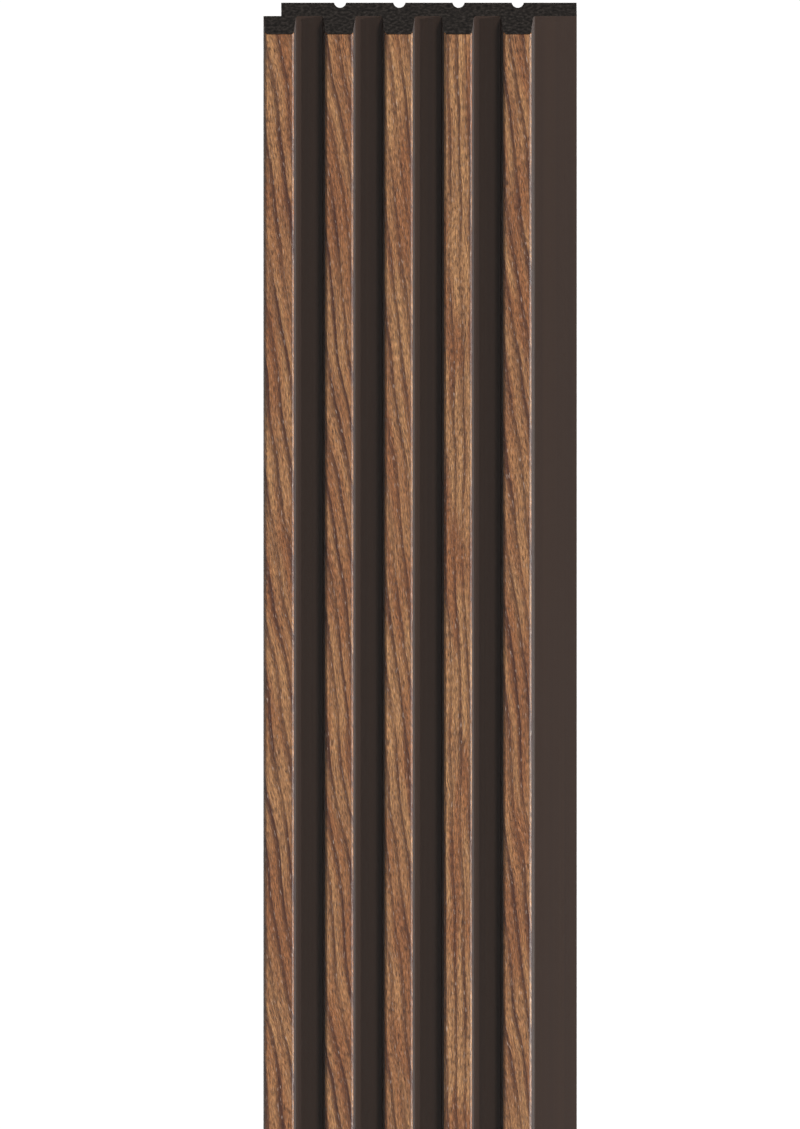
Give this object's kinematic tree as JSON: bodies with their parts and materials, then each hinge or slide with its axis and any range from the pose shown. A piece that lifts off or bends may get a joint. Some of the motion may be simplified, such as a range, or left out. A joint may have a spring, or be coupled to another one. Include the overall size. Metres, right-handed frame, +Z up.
{
  "type": "fluted wall panel",
  "caption": "Wall cladding panel in rigid foam with wood-effect slats, and a rebate and a tongue to lap with its neighbours.",
  "frame": {"origin": "middle of the panel's width, on the back face, at the bottom end", "axes": "+X across the panel towards the tongue, +Y out of the back face into the wall, +Z up along the slats"},
  "size_m": [0.12, 0.012, 2.7],
  "materials": {
    "foam_core": "extruded polystyrene foam, satin dark-brown coat on the front, raw charcoal at the ends and back",
    "wood_film": "embossed walnut-effect decor film, matt to satin"
  },
  "bodies": {
    "root": {"core": "foam_core", "slat_film_1": "wood_film", "slat_film_2": "wood_film", "slat_film_3": "wood_film", "slat_film_4": "wood_film", "slat_film_5": "wood_film"}
  },
  "joints": []
}
